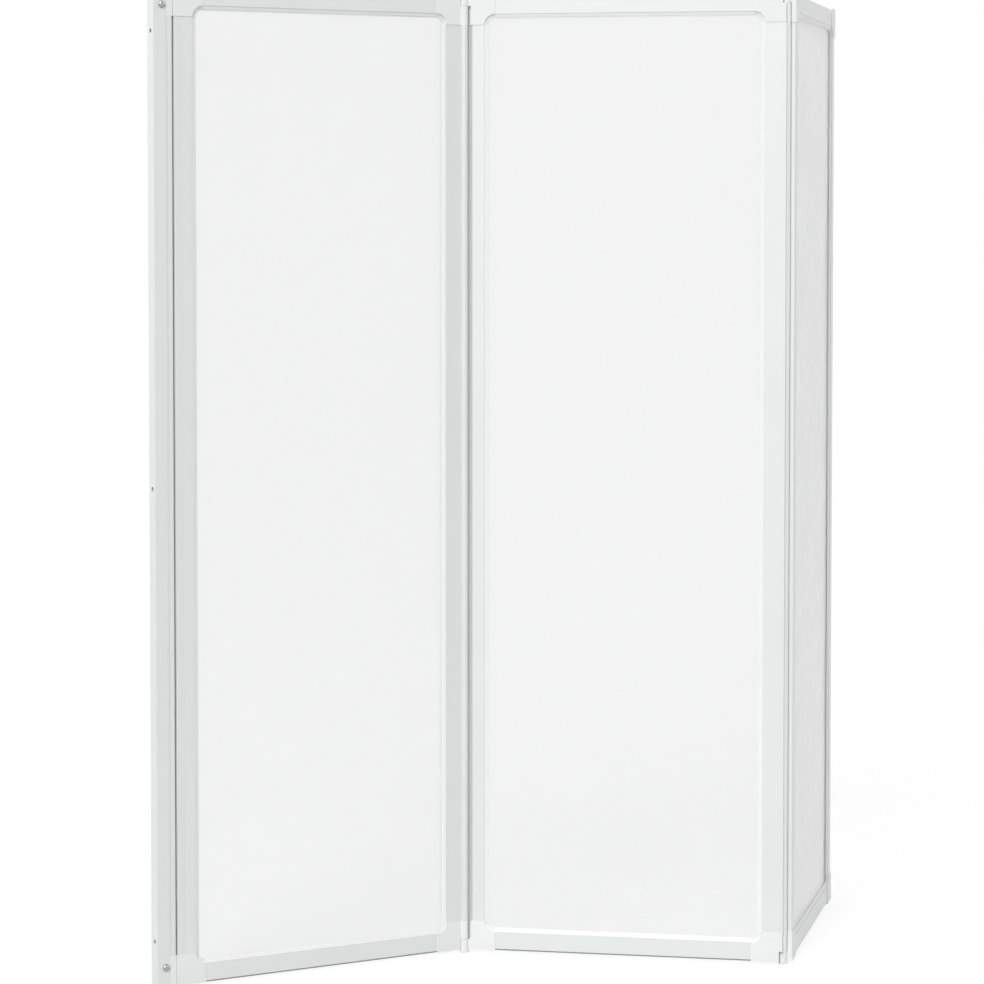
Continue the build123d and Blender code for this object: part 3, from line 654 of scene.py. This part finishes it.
class BATH_SCREEN_OT_seals(bpy.types.Operator):
    """Soft glazing strips, sill seals and hinge seals"""

    bl_idname = "bath_screen.seals"
    bl_label = "Dress the seals"

    def execute(self, context):
        finishes = context.scene.screen_finishes
        # The sill seals' dark grey is partly painted shade: it stands for the line of shade under the rails.
        dark = moulded_material("Sill seal", finishes.sill_seal, roughness=0.55, grain=1400.0, depth=0.04)
        pale = moulded_material("Hinge seal", finishes.hinge_seal, roughness=0.55, grain=1400.0, depth=0.04)
        strip = moulded_material("Glazing strip", finishes.gasket, roughness=0.5, grain=1600.0, depth=0.02)
        for panel in PANELS:
            finish_node(f"{panel}_sill_seal", dark)
            finish_node(f"{panel}_hinge_seal", pale)
            finish_node(f"{panel}_glazing_gasket", strip)
            self.glazing_lips(panel, strip, context.scene.screen_sizes)
        return {"FINISHED"}

    def glazing_lips(self, panel, material, sizes):
        """Soft lips that lie on the slopes of the stiles and rails and end on the sheet."""
        outer_low, outer_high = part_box(f"{panel}_bottom_rail")[0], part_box(f"{panel}_top_rail")[1]
        stile_low, stile_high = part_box(f"{panel}_left_stile")
        place = panel_place(panel)
        unplace = place.inverted()
        ends = [unplace @ corner.co for corner in frame["nodes"][f"{panel}_top_rail"].data.vertices]
        rail_start, rail_end = min(end.x for end in ends), max(end.x for end in ends)
        pitch = rail_start + rail_end
        foot = sizes.rail_face + sizes.slope_width
        half_wide = pitch / 2 - sizes.stile_face - sizes.slope_width
        half_high = (outer_high.z - outer_low.z) / 2 - foot
        middle = Vector((pitch / 2, 0, (outer_high.z + outer_low.z) / 2))
        mesh_data = bmesh.new()
        front = Matrix.Translation(middle - Vector((0, sizes.sheet_level + RING_CLEARANCE, 0)))
        self.sheet_ring(mesh_data, half_wide, half_high, front @ Matrix.Rotation(math.radians(90), 4, "X"))
        for face in (-1, 1):
            for side in (0, 1):
                turn = 1 - 2 * side
                edge = side * pitch + turn * sizes.stile_face
                section = self.lip_section(sizes, Vector((turn, 0, 0)), face)
                start, end = Vector((edge, 0, stile_low.z)), Vector((edge, 0, stile_high.z))
                bar_between(mesh_data, section, start, end)
                level = (outer_low.z + sizes.rail_face, outer_high.z - sizes.rail_face)[side]
                section = self.lip_section(sizes, Vector((0, 0, turn)), face)
                bar_between(mesh_data, section, Vector((rail_start, 0, level)), Vector((rail_end, 0, level)))
        bmesh.ops.transform(mesh_data, matrix=place, verts=mesh_data.verts)
        piece = piece_from(mesh_data, f"{panel}_glazing_lips", material, panel)
        soften(piece.data, 40.0)

    def sheet_ring(self, mesh_data, half_wide, half_high, place):
        """A flat soft ring on the sheet, all round the opening, with its corners cut."""
        sizes = bpy.context.scene.screen_sizes
        ring = bmesh.new()
        corners = bmesh.ops.create_grid(ring, x_segments=1, y_segments=1, size=1)["verts"]
        bmesh.ops.scale(ring, verts=corners, vec=(half_wide, half_high, 1))
        bmesh.ops.bevel(
            ring, geom=corners, offset=sizes.corner_cut, affect="VERTICES",
            segments=1, profile=0.5, material=-1,
        )
        face = next(iter(ring.faces))
        for share, rise in RING_STEPS:
            bmesh.ops.inset_region(
                ring, faces=[face], thickness=share * sizes.lip_reach,
                depth=rise * sizes.lip_thickness, use_even_offset=True, use_boundary=True,
            )
        bmesh.ops.delete(ring, geom=[face], context="FACES_ONLY")
        bmesh.ops.bridge_loops(ring, edges=[edge for edge in ring.edges if edge.is_boundary])
        bmesh.ops.transform(ring, matrix=place, verts=ring.verts)
        mesh = bpy.data.meshes.new("sheet_ring")
        ring.to_mesh(mesh)
        ring.free()
        mesh_data.from_mesh(mesh)
        bpy.data.meshes.remove(mesh)

    def lip_section(self, sizes, inwards, face):
        """Section of a lip: its back lies on the slope, its front is a little crowned."""
        fall = (sizes.slope_level - sizes.groove_level) / sizes.slope_width
        points = []
        for along, lift in LIP_PROFILE:
            reach = along * sizes.slope_width
            height = sizes.slope_level - fall * reach + lift * sizes.lip_thickness
            points.append(inwards * reach + Vector((0, face * height, 0)))
        return points


class BATH_SCREEN_OT_screws(bpy.types.Operator):
    """Polished domed screws in the front of the channel"""

    bl_idname = "bath_screen.screws"
    bl_label = "Make the clamp screws"

    def execute(self, context):
        sizes = context.scene.screen_sizes
        chrome = chrome_material(context.scene.screen_finishes)
        seats, shank = clamp_screw_places()
        radius, rise = sizes.head_radius, sizes.head_dome
        outline = [
            (0, -shank), (sizes.shank_radius - SHANK_TIP_INSET, -shank),
            (sizes.shank_radius, -shank + SHANK_TIP_HEIGHT), (sizes.shank_radius, 0),
            (radius - HEAD_SEAT_INSET, 0), (radius, HEAD_SEAT_HEIGHT), (radius, HEAD_LIP),
        ]
        for step in range(1, DOME_STEPS + 1):
            turn = math.radians(90 * step / DOME_STEPS)
            outline.append((radius * math.cos(turn), HEAD_LIP + (rise - HEAD_LIP) * math.sin(turn)))
        mesh_data = bmesh.new()
        for seat in seats:
            outwards = Matrix.Translation(seat) @ Matrix.Rotation(math.radians(90), 4, "X")
            turned_solid(mesh_data, outline, outwards)
        piece = piece_from(mesh_data, "domed_clamp_screws", chrome, "wall_post")
        soften(piece.data)
        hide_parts("clamp_screws")
        return {"FINISHED"}


class BATH_SCREEN_OT_pins(bpy.types.Operator):
    """Nylon hinge pins with rounded caps above and glide discs below"""

    bl_idname = "bath_screen.pins"
    bl_label = "Make the hinge pins"

    def execute(self, context):
        sizes = context.scene.screen_sizes
        colour = context.scene.screen_finishes.nylon
        nylon = moulded_material("White nylon", colour, roughness=0.36, grain=1800.0, depth=0.02)
        for node, body in PIN_NODES.items():
            low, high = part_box(node)
            middle = (low + high) / 2
            mesh_data = bmesh.new()
            for side, level, radius, thickness in (
                (1, high.z, sizes.cap_radius, sizes.cap_thickness),
                (-1, low.z, sizes.glide_radius, sizes.glide_thickness),
            ):
                rim = rounded_rim(radius, -thickness, 0, RIM_ROUNDING * thickness)
                tip = -thickness - sizes.pin_length
                outline = [
                    (0, tip), (sizes.pin_radius - PIN_TIP_INSET, tip),
                    (sizes.pin_radius, tip + PIN_TIP_HEIGHT), (sizes.pin_radius, -thickness), *rim,
                    (DIMPLE_OUTER * radius, 0), (DIMPLE_INNER * radius, -DIMPLE_DEPTH), (0, -DIMPLE_DEPTH),
                ]
                place = Matrix.Translation((middle.x, middle.y, level)) @ Matrix.Diagonal((1, 1, side, 1))
                turned_solid(mesh_data, outline, place)
            piece = piece_from(mesh_data, f"{node}_rounded", nylon, body)
            soften(piece.data)
            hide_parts(node)
        return {"FINISHED"}


def soft_sun(name, azimuth, elevation, spread, strength):
    """Even soft light from a direction: azimuth is counted from the front towards the left."""
    lamp = bpy.data.lights.new(name, "SUN")
    lamp.angle = math.radians(spread)
    lamp.energy = strength
    holder = bpy.data.objects.new(name, lamp)
    bpy.context.scene.collection.objects.link(holder)
    turn, rise = math.radians(azimuth), math.radians(elevation)
    towards = Vector((-math.sin(turn) * math.cos(rise), -math.cos(turn) * math.cos(rise), math.sin(rise)))
    holder.location = towards * LAMP_DISTANCE
    holder.rotation_euler = towards.to_track_quat("Z", "Y").to_euler()


def seen_by(tree, rays):
    """1 for what the camera sees, straight or in metal and through the sheets."""
    direct = add_node(tree, "ShaderNodeMath", operation="MAXIMUM")
    through = add_node(tree, "ShaderNodeMath", operation="MAXIMUM")
    tree.links.new(rays.outputs["Is Camera Ray"], direct.inputs[0])
    tree.links.new(rays.outputs["Is Glossy Ray"], direct.inputs[1])
    tree.links.new(direct.outputs[0], through.inputs[0])
    tree.links.new(rays.outputs["Is Transmission Ray"], through.inputs[1])
    return through.outputs[0]


class BATH_SCREEN_OT_stage(bpy.types.Operator):
    """White floor, even light, three lamps and the camera"""

    bl_idname = "bath_screen.stage"
    bl_label = "Set the stage"

    def execute(self, context):
        scene = context.scene
        studio = scene.screen_studio
        low = cad_box[0]
        mesh_data = bmesh.new()
        bmesh.ops.create_grid(mesh_data, x_segments=2, y_segments=2, size=FLOOR_HALF)
        bmesh.ops.translate(mesh_data, verts=mesh_data.verts, vec=(0, 0, low.z - FLOOR_GAP))
        mesh = bpy.data.meshes.new("floor")
        mesh_data.to_mesh(mesh)
        mesh_data.free()
        floor = bpy.data.objects.new("floor", mesh)
        scene.collection.objects.link(floor)
        mesh.materials.append(self.floor_material(studio))
        self.world(scene, studio)
        for name, (azimuth, elevation, spread) in LAMPS.items():
            soft_sun(name, azimuth, elevation, spread, getattr(studio, name))
        self.camera(scene, studio)
        scene.view_settings.view_transform = "Standard"
        return {"FINISHED"}

    def floor_material(self, studio):
        """Reads white to the camera and keeps a faint share of the object's shadow."""
        material = bpy.data.materials.new("White floor")
        material.use_nodes = True
        tree = material.node_tree
        tree.nodes.clear()
        matt = add_node(tree, "ShaderNodeBsdfDiffuse", Color=(*studio.floor, 1))
        glow = add_node(tree, "ShaderNodeEmission", Color=(1, 1, 1, 1), Strength=FLOOR_GLOW)
        both = add_node(tree, "ShaderNodeMixShader", Fac=FLOOR_SHADOW)
        rays = tree.nodes.new("ShaderNodeLightPath")
        pick = tree.nodes.new("ShaderNodeMixShader")
        output = tree.nodes.new("ShaderNodeOutputMaterial")
        tree.links.new(glow.outputs[0], both.inputs[1])
        tree.links.new(matt.outputs[0], both.inputs[2])
        tree.links.new(seen_by(tree, rays), pick.inputs["Fac"])
        tree.links.new(matt.outputs[0], pick.inputs[1])
        tree.links.new(both.outputs[0], pick.inputs[2])
        tree.links.new(pick.outputs[0], output.inputs["Surface"])
        return material

    def world(self, scene, studio):
        """Even light on the part, and plain white where the camera looks past it."""
        world = bpy.data.worlds.new("Even light")
        scene.world = world
        world.use_nodes = True
        tree = world.node_tree
        tree.nodes.clear()
        light = add_node(tree, "ShaderNodeBackground", Color=(1, 1, 1, 1), Strength=studio.sky)
        white = add_node(tree, "ShaderNodeBackground", Color=(1, 1, 1, 1), Strength=1.0)
        rays = tree.nodes.new("ShaderNodeLightPath")
        pick = tree.nodes.new("ShaderNodeMixShader")
        output = tree.nodes.new("ShaderNodeOutputWorld")
        tree.links.new(seen_by(tree, rays), pick.inputs["Fac"])
        tree.links.new(light.outputs[0], pick.inputs[1])
        tree.links.new(white.outputs[0], pick.inputs[2])
        tree.links.new(pick.outputs[0], output.inputs["Surface"])

    def camera(self, scene, studio):
        """The main view, from the front left."""
        view = bpy.data.cameras.new("Front left view")
        view.lens = studio.lens
        view.sensor_width = CAMERA_SENSOR
        view.shift_x, view.shift_y = CAMERA_SHIFT
        view.clip_end = CAMERA_FAR
        holder = bpy.data.objects.new("Front left view", view)
        scene.collection.objects.link(holder)
        holder.location = CAMERA_PLACE
        holder.rotation_euler = (math.radians(90 - CAMERA_TILT), 0, math.radians(CAMERA_TURN))
        scene.camera = holder


class BATH_SCREEN_PT_panel(bpy.types.Panel):
    """Lists the finishes, sizes and steps of the screen"""

    bl_label = "Folding Bath Screen"
    bl_idname = "BATH_SCREEN_PT_panel"
    bl_space_type = "VIEW_3D"
    bl_region_type = "UI"
    bl_category = "Bath Screen"

    def draw(self, context):
        for step in STEPS:
            self.layout.operator(step.bl_idname)
        for name in SETTINGS:
            settings = getattr(context.scene, name)
            box = self.layout.box()
            for key in settings.__annotations__:
                box.prop(settings, key)


SETTINGS = {"screen_finishes": ScreenFinishes, "screen_sizes": ScreenSizes, "screen_studio": ScreenStudio}
STEPS = (
    BATH_SCREEN_OT_profiles,
    BATH_SCREEN_OT_mouldings,
    BATH_SCREEN_OT_sheets,
    BATH_SCREEN_OT_seals,
    BATH_SCREEN_OT_screws,
    BATH_SCREEN_OT_pins,
    BATH_SCREEN_OT_stage,
)


def register():
    for cls in (*SETTINGS.values(), *STEPS, BATH_SCREEN_PT_panel):
        bpy.utils.register_class(cls)
    for name, cls in SETTINGS.items():
        setattr(bpy.types.Scene, name, bpy.props.PointerProperty(type=cls))


def unregister():
    for name in SETTINGS:
        delattr(bpy.types.Scene, name)
    for cls in reversed((*SETTINGS.values(), *STEPS, BATH_SCREEN_PT_panel)):
        bpy.utils.unregister_class(cls)


def main():
    register()
    bpy.ops.bath_screen.profiles()
    bpy.ops.bath_screen.mouldings()
    bpy.ops.bath_screen.sheets()
    bpy.ops.bath_screen.seals()
    bpy.ops.bath_screen.screws()
    bpy.ops.bath_screen.pins()
    bpy.ops.bath_screen.stage()
    bpy.context.view_layer.update()


if __name__ == "__main__":
    main()
